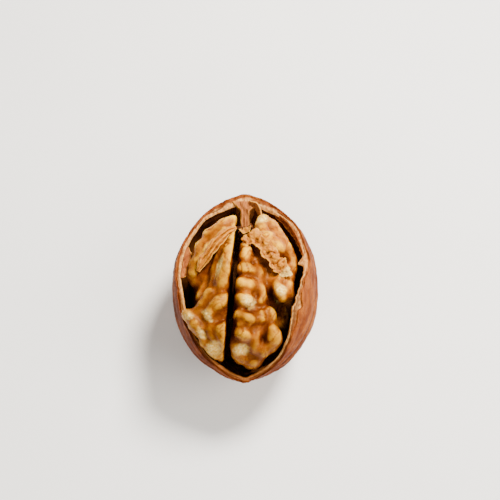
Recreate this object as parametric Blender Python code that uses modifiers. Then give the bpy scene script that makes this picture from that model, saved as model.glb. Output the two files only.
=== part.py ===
"""Walnut kernel in its opened shell: a standalone Blender 4.5 script.

The nut lies on its back with the opening up. +Z is up, +X is to the right of the opening, +Y runs along
the nut to its stem end, and the pointed tip is at -Y. The origin is on the surface that the nut rests on,
under the middle of its footprint. Lengths in this file are millimetres and become metres where a mesh is
made. Heights of the opening, the folds and the membranes are counted from the nut's middle.
"""

import math

import bmesh
import bpy
from mathutils import Euler, Matrix, Vector, noise

MM = 0.001
COLLECTION = "walnut_kernel"
CUTTERS = "cutters"

# The nut's body.
HALF_WIDTH = 19.0
HALF_LENGTH = 25.0
HALF_DEPTH = 18.5
TIP_TAPER = (0.36, 8.0)  # how much the tip end narrows, and how late
STEM_TAPER = (0.15, 3.0)
SUTURE_RISE = 0.8
SUTURE_END_RISE = 0.3
SUTURE_HALF_WIDTH = 2.2
BUMP_RISE = 0.35
BUMP_SIZE = 7.0
REST_DEPTH = 18.55  # from the nut's middle down to the flat spot that it rests on

# Furrows run from the stem end to the tip: (angle round the long axis at the stem end, in the middle and
# at the tip, depth). An angle of -90 degrees is the underside, 0 the right side and 180 the left side.
FURROWS = (
    (-176, -188, -172, 0.45),
    (-158, -151, -160, 0.60),
    (-141, -133, -128, 0.45),
    (-118, -122, -109, 0.55),
    (-66, -71, -74, 0.50),
    (-52, -44, -58, 0.60),
    (-31, -37, -22, 0.45),
    (-8, -12, -4, 0.55),
    (9, 12, 6, 0.40),
)
FURROW_HALF_WIDTH = 0.9

# The shell's wall, and the height of its broken rim every 15 degrees from +X round by +Y.
WALL = 1.5
STEM_WALL = 2.6
RIM_HEIGHTS = (
    10.2, 8.4, 7.3, 5.4, 4.4, 4.2, 4.0, 4.2, 4.4, 4.9, 5.8, 6.6,
    6.8, 7.4, 7.0, 5.8, 3.4, 1.0, 0.4, 1.5, 4.6, 9.0, 11.6, 11.5,
)
SHELL_SEGMENTS = 80
SHELL_RINGS = 18

# The woody partition that stands on the stem end's wall, between the two halves of the kernel.
PARTITION_THICKNESS = 2.2
PARTITION_FROM = 15.8
PARTITION_TOP = (3.0, 3.9)  # its height at the free end and at the wall
PARTITION_BOTTOM = -7.0
PARTITION_FLARE = 6.4

# The kernel: two rounded bodies, one on each side of the gap, with folds laid on them.
# Each body is (middle x, y, z, half-lengths along x, y, z).
KERNEL_BODIES = (
    (-8.2, -0.5, -1.6, 5.4, 16.4, 9.8),
    (-7.4, -0.5, -4.4, 6.8, 16.4, 8.7),
    (3.8, -1.0, -1.6, 6.0, 16.6, 10.3),
    (5.6, -0.5, -4.4, 8.0, 17.4, 8.8),
)
ISTHMUS = (-3.2, -7.0, -8.5, 4.0)
GAP_WIDTH = 1.3
GAP_ENDS = ((-1.4, 17.0), (-4.7, -20.0))  # the gap's middle line, seen from above
GAP_FLOOR = -3.5
# A fold is a chain of beads: (x, y, height, radius) at each point that its line passes through.
FOLDS = {
    "outer_crest": (
        (-3.0, 15.8, 8.0, 1.2), (-7.0, 13.0, 9.4, 1.8), (-10.4, 9.1, 8.6, 1.8),
        (-12.0, 5.0, 7.9, 1.9), (-13.0, -0.3, 6.0, 1.8),
    ),
    "crest_shoulder": ((-3.2, 13.4, 9.6, 1.3), (-7.4, 10.0, 10.2, 1.5), (-10.8, 5.6, 9.3, 1.5)),
    "inner_crest": (
        (-2.8, 10.7, 10.6, 1.3), (-3.6, 6.5, 12.2, 2.0), (-4.7, 1.6, 12.8, 2.2),
        (-6.0, -3.3, 12.1, 2.0),
    ),
    "inner_slope": ((-4.8, 8.9, 10.4, 1.5), (-7.2, 3.4, 10.4, 1.9), (-8.2, -3.0, 10.0, 1.7)),
    "middle_bridge": ((-6.3, -4.5, 11.5, 1.6), (-9.8, -6.3, 11.0, 1.9), (-12.1, -9.6, 8.8, 1.8)),
    "rim_bump": (
        (-14.2, -9.9, 8.8, 1.8), (-11.8, -12.5, 8.2, 2.1), (-10.1, -15.4, 6.4, 1.9),
        (-8.9, -17.2, 5.2, 2.0),
    ),
    "block": ((-4.6, -6.5, 12.5, 1.8), (-6.4, -7.6, 12.6, 2.0), (-8.9, -10.0, 11.4, 1.5)),
    "gap_knob": ((-5.3, -13.7, 10.6, 2.1), (-6.1, -14.8, 9.8, 2.3)),
    "tip_block": (
        (-8.3, -16.6, 6.6, 1.9), (-8.1, -17.9, 4.8, 2.1), (-6.3, -18.7, 3.4, 2.1),
        (-7.4, -18.2, 1.6, 2.0),
    ),
    "left_floor": ((-4.4, -9.2, 9.4, 1.7), (-8.0, -13.2, 8.4, 2.1), (-7.6, -15.7, 7.0, 2.1)),
    "left_gap_wall": ((-3.6, 4.4, 8.4, 1.5), (-4.5, -8.0, 8.4, 1.6), (-5.3, -17.4, 6.6, 1.6)),
    "stem_knob": ((4.5, 15.8, 8.9, 1.9), (4.1, 13.2, 10.2, 2.1)),
    "stem_flank": ((6.2, 14.4, 8.2, 1.9), (7.6, 11.4, 8.8, 2.0), (9.6, 8.8, 8.6, 2.0)),
    "stem_column": (
        (4.4, 11.0, 10.8, 2.1), (6.8, 8.7, 11.0, 2.4), (9.0, 7.5, 10.4, 1.9), (8.0, 6.3, 10.0, 1.7),
    ),
    "tip_bead": ((-0.4, 7.8, 10.6, 1.0), (0.0, 5.6, 11.6, 1.8)),
    "bead_two": ((-1.4, 0.0, 12.2, 2.0), (0.2, -0.7, 12.5, 2.3)),
    "bead_three": ((-1.4, -6.5, 12.3, 2.0), (0.3, -7.1, 12.7, 2.2)),
    "bead_four": ((-1.8, -10.8, 12.0, 1.6), (1.4, -11.5, 12.1, 1.6)),
    "bead_five": ((-1.4, -12.8, 11.4, 1.3), (0.8, -13.4, 11.5, 1.3)),
    "bead_six": ((-1.9, -15.0, 10.8, 1.5), (0.7, -15.9, 10.3, 1.4)),
    "tip_foot": (
        (-1.8, -17.7, 7.4, 1.8), (-1.3, -19.0, 4.6, 2.1), (1.4, -20.0, 2.6, 2.2),
        (3.6, -18.9, 3.8, 2.1),
    ),
    "second_column": (
        (2.8, 3.8, 10.3, 1.5), (3.4, -0.8, 10.4, 1.7), (4.6, -4.6, 10.8, 1.5), (3.9, -7.2, 10.4, 1.5),
    ),
    "pink_knob": ((3.9, -10.4, 10.9, 1.5), (4.1, -11.8, 10.6, 1.5)),
    "brown_knob": ((6.0, -9.2, 9.8, 1.5), (6.8, -11.0, 9.4, 1.7), (6.3, -12.5, 9.2, 1.5)),
    "side_lobe": ((6.8, -14.6, 8.8, 2.1), (6.4, -16.8, 6.8, 2.3), (4.2, -18.3, 6.2, 2.0)),
    "channel": ((2.4, -8.8, 9.6, 1.4), (2.9, -14.0, 8.8, 1.5), (2.4, -17.9, 7.0, 1.6)),
    "window_lobe": ((9.1, -0.9, 10.2, 1.6), (8.3, -3.0, 10.6, 1.5), (9.5, -6.1, 9.8, 1.6)),
    "rim_plate": ((11.7, 0.0, 8.4, 1.4), (11.4, -4.6, 8.0, 1.4)),
    "far_lump": ((11.1, 7.0, 7.6, 1.5), (11.8, 2.4, 7.4, 1.5)),
    "membrane_bed": ((2.9, 9.4, 9.4, 1.5), (6.2, 4.2, 9.2, 1.7), (9.9, 1.8, 9.0, 1.7)),
    "right_gap_wall": ((-1.4, 4.6, 8.4, 1.5), (-2.0, -6.0, 8.6, 1.7), (-2.6, -17.3, 7.0, 1.6)),
}
BEAD_SPACING = 0.5  # between bead centres, as a share of the bead's radius
FOLD_ROOT = 0.6  # how far each bead is stretched down into its body, as a share of its radius
KERNEL_VOXEL = 0.7
KERNEL_DETAIL = 0.26  # the share of the melted surface's faces that is kept
CLEARANCE = 0.35  # between touching pieces, which meshes need

# The papery membranes and the torn lining: each is a strip along a line of (x, y, height) points.
MEMBRANE_PATH = (
    (-0.4, 9.6, 12.3), (2.0, 10.6, 12.0), (4.6, 8.6, 12.9), (6.2, 5.5, 12.0), (7.3, 2.6, 11.6),
    (9.1, 1.2, 11.6), (11.3, -0.2, 10.8),
)
MEMBRANE_WIDTH = 2.6
LEFT_STRIP_PATH = ((-3.0, 12.4, 11.6), (-6.2, 9.6, 12.4), (-9.0, 6.4, 12.0), (-10.9, 3.4, 10.9))
LEFT_STRIP_WIDTH = 0.8
MEMBRANE_THICKNESS = 0.35
SHRED = ((-1.2, 14.4, 4.8), (1.2, 13.8, 6.0))
SHRED_RADIUS = 0.9
FLAKE = ((0.2, 13.0, 8.0), (2.4, 1.5, 0.4), (18, -12, 15))  # its middle, its size and its tilt in degrees
# A lining flap is (azimuth from, azimuth to, height of its top edge, depth, lean away from the wall).
LEFT_FLAP = (150, 171, 6.4, 2.4, 1.4)
RIGHT_FLAP = (30, 66, 4.6, 1.6, 0.6)
FLAP_THICKNESS = 0.4

MATERIALS = {
    "shell_wood": ((0.62, 0.36, 0.19), 0.62),
    "kernel_skin": ((0.74, 0.45, 0.16), 0.42),
    "membrane_paper": ((0.76, 0.47, 0.28), 0.60),
    "lining_wood": ((0.55, 0.31, 0.20), 0.65),
    "shred_dark": ((0.20, 0.10, 0.06), 0.80),
}


def clear_scene():
    for thing in list(bpy.data.objects):
        bpy.data.objects.remove(thing, do_unlink=True)


def new_collection(name):
    made = bpy.data.collections.new(name)
    bpy.context.scene.collection.children.link(made)
    return made


def make_material(name):
    colour, roughness = MATERIALS[name]
    made = bpy.data.materials.new(name)
    made.use_nodes = True
    shader = made.node_tree.nodes["Principled BSDF"]
    shader.inputs["Base Color"].default_value = (*colour, 1)
    shader.inputs["Roughness"].default_value = roughness
    shader.inputs["Metallic"].default_value = 0
    return made


def new_object(name, bm, collection, material=None):
    """An object of the bmesh, whose points are millimetres from the nut's middle."""
    bmesh.ops.transform(bm, matrix=Matrix.Scale(MM, 4), verts=bm.verts)
    offset = Vector((0, 0, REST_DEPTH)) * MM
    bmesh.ops.translate(bm, vec=offset, verts=bm.verts)
    mesh = bpy.data.meshes.new(name)
    bm.to_mesh(mesh)
    bm.free()
    made = bpy.data.objects.new(name, mesh)
    collection.objects.link(made)
    if material:
        mesh.materials.append(make_material(material))
        mesh.shade_smooth()
        mesh.set_sharp_from_angle(angle=math.radians(50))
    return made


def add_modifier(thing, kind, **settings):
    made = thing.modifiers.new(kind.title(), kind)
    for key, value in settings.items():
        setattr(made, key, value)
    return made


def cut(thing, cutter):
    cutter.hide_render = True
    cutter.display_type = "WIRE"
    add_modifier(thing, "BOOLEAN", object=cutter, operation="DIFFERENCE", solver="EXACT")


def blend(share):
    """0 to 1, with a soft start and end."""
    share = min(1.0, max(0.0, share))
    return share * share * (3 - 2 * share)


def taper(along):
    amount, power = TIP_TAPER if along < 0 else STEM_TAPER
    return 1 - amount * abs(along) ** power


def furrow_angle(furrow, along):
    """The furrow's angle at this place, along being -1 at the tip and 1 at the stem end."""
    stem, middle, tip, _ = furrow
    end = stem if along > 0 else tip
    return middle + (end - middle) * along * along


def relief(direction):
    """How far the outer surface stands proud of the smooth nut there."""
    along = direction.y
    around = math.degrees(math.atan2(direction.z, direction.x))
    girth = HALF_WIDTH * math.sqrt(max(0.0, 1 - along * along))
    ends = blend((1 - abs(along)) / 0.12)
    height = BUMP_RISE * noise.noise(direction * (HALF_WIDTH / BUMP_SIZE))
    for furrow in FURROWS:
        apart = (around - furrow_angle(furrow, along) + 180) % 360 - 180
        across = math.radians(apart) * girth / FURROW_HALF_WIDTH
        height -= furrow[3] * ends * math.exp(-across * across)
    from_suture = min(abs(around - 90), abs((around + 90 + 180) % 360 - 180))
    across = math.radians(from_suture) * girth / SUTURE_HALF_WIDTH
    rise = SUTURE_RISE + (SUTURE_END_RISE - SUTURE_RISE) * along**4
    height += rise * math.exp(-(across**4))
    return height


def nut_point(direction, inset=0.0, rough=1.0):
    """The nut's surface in this direction, or a surface that lies inset below it."""
    narrow = taper(direction.y)
    point = Vector((
        (HALF_WIDTH - inset) * direction.x * narrow,
        (HALF_LENGTH - inset) * direction.y,
        (HALF_DEPTH - inset) * direction.z * narrow,
    ))
    return point + direction * relief(direction) * rough


def rim_height(azimuth):
    """The broken rim's height at this azimuth in degrees, read smoothly between the stated heights."""
    step = 360 / len(RIM_HEIGHTS)
    place = (azimuth % 360) / step
    first = int(place)
    share = place - first
    a, b, c, d = (RIM_HEIGHTS[(first + k) % len(RIM_HEIGHTS)] for k in (-1, 0, 1, 2))
    return 0.5 * (
        2 * b + (c - a) * share
        + (2 * a - 5 * b + 4 * c - d) * share**2
        + (3 * b - a - 3 * c + d) * share**3
    )


def rim_elevation(azimuth, lower_by=0.0, inset=0.0):
    """The elevation angle at which a surface this far inside the nut's reaches the rim's height."""
    height = rim_height(math.degrees(azimuth)) - lower_by
    return math.asin(height / (HALF_DEPTH - inset))


def towards(azimuth, elevation):
    flat = math.cos(elevation)
    return Vector((flat * math.cos(azimuth), flat * math.sin(azimuth), math.sin(elevation)))


def shape_bowl(bm, segments, rings, inset=0.0, rough=1.0, lower_by=0.0):
    """A sphere's lower half, drawn over the nut from its underside up to the broken rim."""
    bmesh.ops.create_uvsphere(bm, u_segments=segments, v_segments=2 * rings, radius=1)
    above = [v for v in bm.verts if v.co.z > 0.01]
    bmesh.ops.delete(bm, geom=above, context="VERTS")
    for vert in bm.verts:
        azimuth = math.atan2(vert.co.y, vert.co.x)
        from_bottom = math.acos(max(-1.0, min(1.0, -vert.co.z))) / (math.pi / 2)
        reach = math.pi / 2 + rim_elevation(azimuth, lower_by, inset)
        vert.co = nut_point(towards(azimuth, from_bottom * reach - math.pi / 2), inset, rough)


def make_shell(parts, cutters):
    """The shell: an open bowl given its wall, with the woody partition joined on and a flat spot to rest on."""
    bm = bmesh.new()
    shape_bowl(bm, SHELL_SEGMENTS, SHELL_RINGS)
    shell = new_object("shell", bm, parts, "shell_wood")
    thicker = shell.vertex_groups.new(name="thicker")
    for vert in shell.data.vertices:
        towards_stem = blend((vert.co.y / MM - 0.72 * HALF_LENGTH) / (0.2 * HALF_LENGTH))
        thicker.add([vert.index], WALL / STEM_WALL + (1 - WALL / STEM_WALL) * towards_stem, "REPLACE")
    add_modifier(
        shell, "SOLIDIFY", thickness=STEM_WALL * MM, offset=-1, vertex_group="thicker",
        thickness_vertex_group=0.0,
    )
    partition = make_partition(cutters)
    add_modifier(shell, "BOOLEAN", object=partition, operation="UNION", solver="EXACT")
    cut(shell, make_table(cutters))
    return shell


def make_partition(collection, grow=0.0, name="partition"):
    """The partition's plate, or the same grown all round for cutting the kernel clear of it."""
    bm = bmesh.new()
    bmesh.ops.create_cube(bm, size=2)
    bmesh.ops.subdivide_edges(bm, edges=bm.edges[:], cuts=3, use_grid_fill=True)
    wall = HALF_LENGTH - 1.7
    low_top, high_top = PARTITION_TOP
    for vert in bm.verts:
        along = (vert.co.y + 1) / 2
        up = (vert.co.z + 1) / 2
        flare = PARTITION_THICKNESS + (PARTITION_FLARE - PARTITION_THICKNESS) * blend(along * 2.4 - 1.4)
        top = low_top + (high_top - low_top) * along + grow
        bottom = PARTITION_BOTTOM - grow
        height = bottom + (top - bottom) * up
        reach = wall * math.sqrt(1 - (height / (0.93 * HALF_DEPTH)) ** 2)
        vert.co = Vector((
            vert.co.x * (flare / 2 + grow),
            PARTITION_FROM - grow + (reach - PARTITION_FROM) * along,
            height,
        ))
    made = new_object(name, bm, collection)
    made.hide_render = True
    made.display_type = "WIRE"
    return made


def make_wall_clearance(collection):
    """The shell's wall and the clearance round it, as a bowl that trims the kernel where it comes too near."""
    bm = bmesh.new()
    shape_bowl(bm, SHELL_SEGMENTS, SHELL_RINGS, rough=0.0, lower_by=-1.5 * CLEARANCE)
    made = new_object("wall_clearance", bm, collection)
    add_modifier(made, "SOLIDIFY", thickness=(WALL + 1.5 * CLEARANCE) * MM, offset=-1)
    return made


def make_table(collection):
    """A block below the plane that the nut rests on, which cuts its flat spot."""
    bm = bmesh.new()
    size = 4 * HALF_LENGTH
    below = Matrix.Translation((0, 0, -REST_DEPTH - size / 2))
    bmesh.ops.create_cube(bm, size=size, matrix=below)
    return new_object("table", bm, collection)


def smooth_line(points, spacing):
    """Points along a smooth curve through the given ones, spacing(point) apart. Every value is read smoothly."""
    first, last = points[0], points[-1]
    ends = (tuple(2 * a - b for a, b in zip(first, points[1])),)
    tail = (tuple(2 * a - b for a, b in zip(last, points[-2])),)
    knots = ends + tuple(points) + tail
    for k in range(1, len(knots) - 2):
        a, b, c, d = knots[k - 1:k + 3]
        length = math.dist(b[:3], c[:3])
        steps = max(1, round(length / spacing(b)))
        for step in range(steps):
            t = step / steps
            yield tuple(
                0.5 * (
                    2 * q + (r - p) * t
                    + (2 * p - 5 * q + 4 * r - s) * t**2
                    + (3 * q - p - 3 * r + s) * t**3
                )
                for p, q, r, s in zip(a, b, c, d)
            )
    yield last


def add_ball(bm, middle, radii):
    place = Matrix.Translation(middle) @ Matrix.Diagonal((*radii, 1))
    bmesh.ops.create_icosphere(bm, subdivisions=3, radius=1, matrix=place)


def make_kernel(parts, cutters):
    """The kernel: bodies, isthmus and folds melted into one, then split by the gap and cleared of the shell."""
    bm = bmesh.new()
    for x, y, z, *radii in KERNEL_BODIES:
        add_ball(bm, (x, y, z), radii)
    add_ball(bm, ISTHMUS[:3], (ISTHMUS[3],) * 3)
    for fold in FOLDS.values():
        for x, y, z, radius in smooth_line(fold, lambda bead: bead[3] * BEAD_SPACING):
            root = FOLD_ROOT * radius
            add_ball(bm, (x, y, z - root), (radius, radius, radius + root))
    kernel = new_object("kernel", bm, parts, "kernel_skin")
    add_modifier(kernel, "REMESH", mode="VOXEL", voxel_size=KERNEL_VOXEL * MM, use_smooth_shade=True)
    add_modifier(kernel, "SMOOTH", factor=0.5, iterations=2)
    add_modifier(kernel, "DECIMATE", ratio=KERNEL_DETAIL)
    cut(kernel, make_gap(cutters))
    cut(kernel, make_wall_clearance(cutters))
    cut(kernel, make_partition(cutters, CLEARANCE, "partition_clearance"))
    return kernel


def make_gap(collection):
    """The straight gap between the kernel's halves."""
    bm = bmesh.new()
    (x1, y1), (x2, y2) = GAP_ENDS
    length = math.dist((x1, y1), (x2, y2)) + HALF_LENGTH / 2
    turn = math.atan2(y1 - y2, x1 - x2) - math.pi / 2
    height = 2 * HALF_DEPTH
    place = (
        Matrix.Translation(((x1 + x2) / 2, (y1 + y2) / 2, GAP_FLOOR + height / 2))
        @ Matrix.Rotation(turn, 4, "Z")
        @ Matrix.Diagonal((GAP_WIDTH, length, height, 1))
    )
    bmesh.ops.create_cube(bm, size=1, matrix=place)
    return new_object("gap", bm, collection)


def make_strip(name, path, width, material, kernel, parts):
    """A papery strip along its line, held just clear of the kernel."""
    line = [Vector(p) for p in smooth_line(path, lambda point: 0.75)]
    bm = bmesh.new()
    across = 6
    bmesh.ops.create_grid(bm, x_segments=len(line) - 1, y_segments=across, size=1)
    last = len(line) - 1
    for vert in bm.verts:
        index = round((vert.co.x + 1) / 2 * last)
        ahead = (line[min(index + 1, last)] - line[max(index - 1, 0)]).normalized()
        side = Vector((-ahead.y, ahead.x, 0)).normalized()
        ends = 1 - 0.5 * abs(2 * index / last - 1) ** 3
        vert.co = line[index] + side * vert.co.y * width / 2 * ends
    strip = new_object(name, bm, parts, material)
    add_modifier(
        strip, "SHRINKWRAP", target=kernel, wrap_method="NEAREST_SURFACEPOINT", wrap_mode="OUTSIDE",
        offset=1.6 * CLEARANCE * MM,
    )
    add_modifier(strip, "SOLIDIFY", thickness=MEMBRANE_THICKNESS * MM, offset=1)
    return strip


def make_shred(parts):
    """The dark dried shred in front of the partition's end."""
    bm = bmesh.new()
    (start, end) = (Vector(p) for p in SHRED)
    turn = (end - start).to_track_quat("Z", "Y").to_matrix().to_4x4()
    length = (end - start).length + SHRED_RADIUS
    place = Matrix.Translation((start + end) / 2) @ turn
    bmesh.ops.create_icosphere(
        bm, subdivisions=3, radius=1,
        matrix=place @ Matrix.Diagonal((SHRED_RADIUS, 0.7 * SHRED_RADIUS, length / 2, 1)),
    )
    for vert in bm.verts:
        vert.co += 0.3 * vert.co.normalized() * noise.noise(vert.co * 1.3)
    return new_object("septum_shred", bm, parts, "shred_dark")


def make_flake(parts):
    """A thin flake broken off the partition, lying over the shred."""
    middle, size, tilt = FLAKE
    bm = bmesh.new()
    turn = Euler(math.radians(angle) for angle in tilt).to_matrix().to_4x4()
    bmesh.ops.create_cube(bm, size=1, matrix=Matrix.Diagonal((*size, 1)))
    for vert in bm.verts:
        vert.co.x *= 1 + 0.5 * vert.co.y / size[1]
    bmesh.ops.transform(bm, matrix=Matrix.Translation(middle) @ turn, verts=bm.verts)
    flake = new_object("septum_flake", bm, parts, "membrane_paper")
    add_modifier(flake, "BEVEL", width=0.12 * MM, segments=2)
    return flake


def make_flap(name, flap, parts):
    """A torn piece of the shell's lining that stands a little off the wall."""
    start, end, top, depth, lean = flap
    bm = bmesh.new()
    bmesh.ops.create_grid(bm, x_segments=14, y_segments=5, size=1)
    inner = WALL + CLEARANCE
    for vert in bm.verts:
        along = (vert.co.x + 1) / 2
        up = (vert.co.y + 1) / 2
        azimuth = math.radians(start + (end - start) * along)
        lens = math.sqrt(max(0.02, 1 - (2 * along - 1) ** 2))
        height = top - depth * lens * (1 - up)
        inset = inner + 0.4 + lean * lens * (1 - up)
        elevation = math.asin(height / (HALF_DEPTH - inset))
        vert.co = nut_point(towards(azimuth, elevation), inset, rough=1.0)
    flap_piece = new_object(name, bm, parts, "lining_wood")
    add_modifier(flap_piece, "SOLIDIFY", thickness=FLAP_THICKNESS * MM, offset=0)
    return flap_piece


def main():
    clear_scene()
    parts = new_collection(COLLECTION)
    cutters = new_collection(CUTTERS)
    make_shell(parts, cutters)
    kernel = make_kernel(parts, cutters)
    make_strip("septum_membrane_right", MEMBRANE_PATH, MEMBRANE_WIDTH, "membrane_paper", kernel, parts)
    make_strip("septum_membrane_left", LEFT_STRIP_PATH, LEFT_STRIP_WIDTH, "membrane_paper", kernel, parts)
    make_shred(parts)
    make_flake(parts)
    make_flap("lining_flap_left", LEFT_FLAP, parts)
    make_flap("lining_flap_right", RIGHT_FLAP, parts)


main()
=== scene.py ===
"""The looks of a walnut kernel that lies in its opened shell.

Shapes are worked out in millimetres from the nut's middle: +X to the right of the opening, +Y to the stem
end, +Z up out of the opening. A finished piece is in metres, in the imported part's own frame.
"""

import math

import bmesh
import bpy
import numpy as np
from bpy.props import FloatProperty, FloatVectorProperty, PointerProperty
from mathutils import Euler, Matrix, Vector, noise
from mathutils.bvhtree import BVHTree


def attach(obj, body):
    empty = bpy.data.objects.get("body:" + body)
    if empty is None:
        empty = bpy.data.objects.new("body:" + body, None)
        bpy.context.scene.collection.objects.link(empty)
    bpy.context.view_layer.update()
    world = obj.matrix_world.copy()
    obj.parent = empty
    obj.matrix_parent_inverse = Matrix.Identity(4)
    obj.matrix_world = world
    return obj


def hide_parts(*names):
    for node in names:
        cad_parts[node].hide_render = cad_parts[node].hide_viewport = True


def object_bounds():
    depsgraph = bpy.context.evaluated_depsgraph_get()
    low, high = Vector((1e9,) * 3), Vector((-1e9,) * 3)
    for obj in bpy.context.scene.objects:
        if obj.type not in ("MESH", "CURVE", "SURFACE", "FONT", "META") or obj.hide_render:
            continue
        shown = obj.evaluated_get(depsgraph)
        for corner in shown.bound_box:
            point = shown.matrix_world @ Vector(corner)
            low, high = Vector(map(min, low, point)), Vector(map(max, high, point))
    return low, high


bl_info = {
    "name": "Opened walnut",
    "version": (1, 0, 0),
    "blender": (4, 5, 0),
    "location": "3D View > Sidebar > Walnut",
    "description": "A walnut kernel in its broken-open shell, with its membranes and a studio stage",
    "category": "Object",
}

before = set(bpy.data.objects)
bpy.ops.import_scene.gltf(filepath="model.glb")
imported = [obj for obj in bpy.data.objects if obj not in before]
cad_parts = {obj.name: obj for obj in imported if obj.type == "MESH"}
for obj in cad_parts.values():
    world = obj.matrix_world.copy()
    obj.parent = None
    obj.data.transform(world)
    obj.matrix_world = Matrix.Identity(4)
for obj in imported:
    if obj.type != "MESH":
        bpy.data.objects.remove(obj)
CAD_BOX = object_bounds()

MM = 0.001
REST_DEPTH = 18.55  # millimetres from the nut's middle down to the surface that it rests on
MIDDLE = Vector((
    (CAD_BOX[0].x + CAD_BOX[1].x) / 2,
    (CAD_BOX[0].y + CAD_BOX[1].y) / 2,
    REST_DEPTH * MM,
))

# The Mix node's settings for laying a colour over another and for tinting it, then its sockets.
LAY = {"data_type": "RGBA"}
TINT = {"data_type": "RGBA", "blend_type": "MULTIPLY"}
SHARE, BELOW, ABOVE, LAID = 0, 6, 7, 2

# The nut's body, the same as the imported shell's.
HALF_WIDTH = 19.0
HALF_LENGTH = 25.0
HALF_DEPTH = 18.5
TIP_TAPER = (0.36, 8.0)  # the share lost at the end, and how late it is lost
STEM_TAPER = (0.15, 3.0)
SUTURE_RISE = 0.8
SUTURE_END_RISE = 0.3
SUTURE_HALF_WIDTH = 2.2
SEAM_HALF_WIDTH = 0.35
SEAM_DEPTH = 0.45
BUMP_RISE = 0.35
BUMP_SIZE = 7.0
WALL = 1.5
STEM_WALL = 2.6

# Furrows from the stem end to the tip: the turn in degrees at the stem end, middle and tip, and the depth.
FURROWS = (
    (-176, -188, -172, 0.45),
    (-158, -151, -160, 0.60),
    (-141, -133, -128, 0.45),
    (-118, -122, -109, 0.55),
    (-66, -71, -74, 0.50),
    (-52, -44, -58, 0.60),
    (-31, -37, -22, 0.45),
    (-8, -12, -4, 0.55),
    (9, 12, 6, 0.40),
)
FURROW_HALF_WIDTH = 0.9
FURROW_WANDER = 2.5  # degrees
# Wrinkles between the furrows: (rounds of noise about the nut, along it, depth, half-width, shift).
WRINKLES = (
    (2.3, 1.1, 0.42, 0.060, 0.0),
    (4.6, 2.4, 0.22, 0.070, 7.3),
    (8.5, 5.0, 0.10, 0.090, 13.1),
)

# The broken rim's heights over the middle, at equal steps of azimuth from +X.
RIM_HEIGHTS = (
    10.2, 8.4, 7.3, 5.4, 4.4, 4.2, 4.0, 4.2, 4.4, 4.9, 5.8, 6.6,
    6.8, 7.4, 7.0, 5.8, 3.4, 1.0, 0.4, 1.5, 4.6, 9.0, 11.6, 11.5,
)
SHELL_SEGMENTS = 340
SHELL_RINGS = 220
OUTER_SHARE = 0.50  # of the rings, for the outer surface
RIM_SHARE = 0.05  # of the rings, for the broken rim
JAGS = ((0.38, 9), (0.22, 24), (0.10, 60))  # (height, how many to a radian)
TAG = (13, 2.6, 1.9)  # a tag that points in from the rim: azimuth, half-width in degrees, reach
LAYER = 0.52  # how far across the rim its layers part
LAYER_CRACK_DEPTH = 0.45
SHADED_SIDE = 248  # the azimuth in degrees of the side darkened as painted shade

# Places where the rim's outer layer has split off lower than its inner layer:
# (azimuth in the middle, half-width in degrees, drop in millimetres).
SPLITS = ((-30, 16, 1.3), (12, 10, 0.7), (118, 14, 0.8), (196, 9, 0.7), (-72, 12, 0.6))

# The partition plate, and the line of the leaf that stands off it.
PARTITION_THICKNESS = 2.2
PARTITION_FROM = 15.8  # its free end
PARTITION_TOP = (3.0, 3.9)  # its height at the free end and at the wall
PARTITION_BOTTOM = -7.0
PARTITION_FLARE = 6.4  # its width at the wall
PARTITION_INSET = 1.7  # how deep it is sunk from the nut's surface
LEAF_PATH = ((1.0, 21.4, 5.2), (2.3, 20.9, 6.0), (3.3, 19.8, 6.2), (3.8, 18.4, 5.8), (3.7, 17.2, 5.2))

# The kernel: (which half, x, y, z, half-lengths) of its bodies, (x, y, z, radius) of the isthmus that joins
# them, and the gap's middle line.
KERNEL_BODIES = (
    ("left", -8.2, -0.5, -1.6, 5.4, 16.4, 9.8),
    ("left", -7.4, -0.5, -4.4, 6.8, 16.4, 8.7),
    ("right", 3.8, -1.0, -1.6, 6.0, 16.6, 10.3),
    ("right", 5.6, -0.5, -4.4, 8.0, 17.4, 8.8),
)
ISTHMUS = (-3.2, -7.0, -8.5, 4.0)
GAP_ENDS = ((-1.4, 17.0), (-4.7, -20.0))
BEAD_SPACING = 0.4  # of a bead's radius
FOLD_ROOT = 0.45  # how much deeper a bead is than it is wide
BEAD_LUMPS = (0.30, 1.5)  # a share of the radius, and the lumps' size
BEAD_SHOVE = (0.35, 2.4)
HALF_VOXEL = 0.42
KERNEL_VOXEL = 0.33
USUAL_WRINKLE = 0.26 * MM
FINE_CREASE, WIDE_CREASE = 0.14, 0.9  # how deep a fine crease or a wide one is to show in full
FINE_RIDGE, WIDE_RIDGE = 0.2, 1.4
SHUT_IN_REACH = 5.0
GOLDEN_ANGLE = 2.399963

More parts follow.
